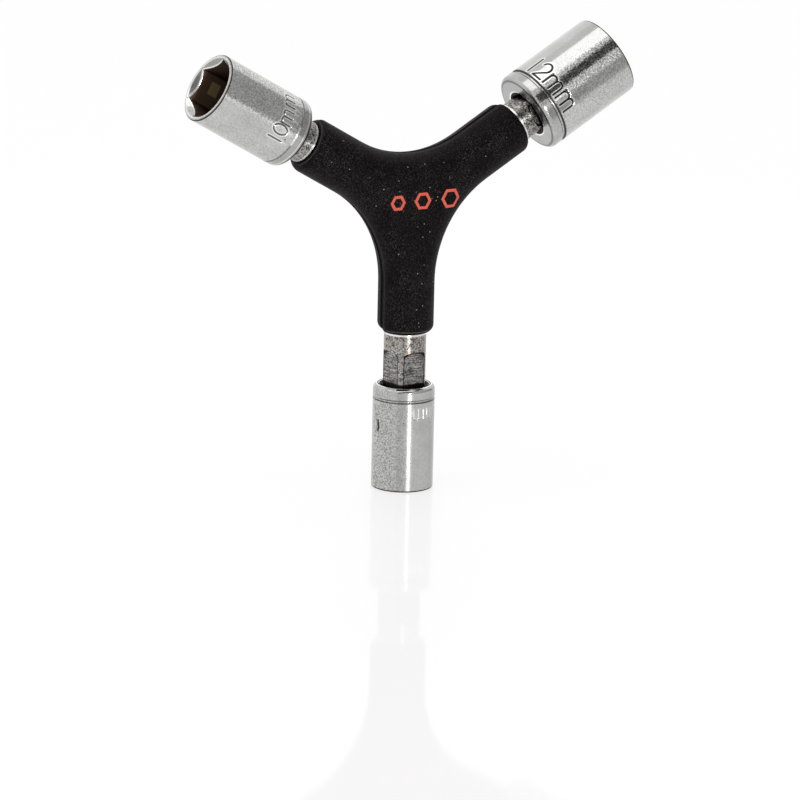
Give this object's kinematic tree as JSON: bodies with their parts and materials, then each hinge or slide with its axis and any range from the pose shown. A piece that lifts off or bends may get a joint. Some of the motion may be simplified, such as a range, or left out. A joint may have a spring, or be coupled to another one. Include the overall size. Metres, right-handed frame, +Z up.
{
  "type": "y-wrench",
  "caption": "Y-shaped hand wrench: welded steel bars in a split moulded handle, with pull-off hexagon sockets held by ball detents on square drives.",
  "frame": {"origin": "centre of the lower socket's mouth, on the plane that the tool stands on", "axes": "+Z up along the lower arm, +X towards the right arm in the tool's plane, -Y towards the front of the handle"},
  "size_m": [0.0926, 0.016, 0.0865],
  "materials": {
    "handle_shell": "fine-grained black moulding",
    "bar_steel": "drawn bar with milled flats, slightly mottled",
    "weld_bead": "as welded",
    "socket_chrome": "satin chrome plate",
    "ball_steel": "polished bearing ball",
    "spring_steel": "drawn spring wire"
  },
  "bodies": {
    "wrench": {"handle_front": "handle_shell", "handle_rear": "handle_shell", "bar_lower": "bar_steel", "bar_left": "bar_steel", "bar_right": "bar_steel", "weld_upper": "weld_bead", "weld_left": "weld_bead", "weld_right": "weld_bead", "detent_spring_lower": "spring_steel", "detent_spring_left": "spring_steel", "detent_spring_right": "spring_steel"},
    "socket_lower": {"socket_lower": "socket_chrome"},
    "detent_ball_lower": {"detent_ball_lower": "ball_steel"},
    "socket_left": {"socket_left": "socket_chrome"},
    "detent_ball_left": {"detent_ball_left": "ball_steel"},
    "socket_right": {"socket_right": "socket_chrome"},
    "detent_ball_right": {"detent_ball_right": "ball_steel"}
  },
  "joints": [
    {"name": "socket_lower_pull_off", "type": "slide", "parent": "wrench", "child": "socket_lower", "axis": [0, 0, -1], "range_m": [0, 0.012]},
    {"name": "detent_lower_press", "type": "slide", "parent": "wrench", "child": "detent_ball_lower", "axis": [-0.0872, 0.9962, 0], "range_m": [0, 0.0004], "stiffness_N_per_m": 1500, "springref_m": -0.0003, "deforming": ["detent_spring_lower"]},
    {"name": "socket_left_pull_off", "type": "slide", "parent": "wrench", "child": "socket_left", "axis": [-0.866, 0, 0.5], "range_m": [0, 0.012]},
    {"name": "detent_left_press", "type": "slide", "parent": "wrench", "child": "detent_ball_left", "axis": [0.0436, 0.9962, 0.0755], "range_m": [0, 0.0004], "stiffness_N_per_m": 1500, "springref_m": -0.0003, "deforming": ["detent_spring_left"]},
    {"name": "socket_right_pull_off", "type": "slide", "parent": "wrench", "child": "socket_right", "axis": [0.866, 0, 0.5], "range_m": [0, 0.012]},
    {"name": "detent_right_press", "type": "slide", "parent": "wrench", "child": "detent_ball_right", "axis": [0.0436, 0.9962, -0.0755], "range_m": [0, 0.0004], "stiffness_N_per_m": 1500, "springref_m": -0.0003, "deforming": ["detent_spring_right"]}
  ]
}
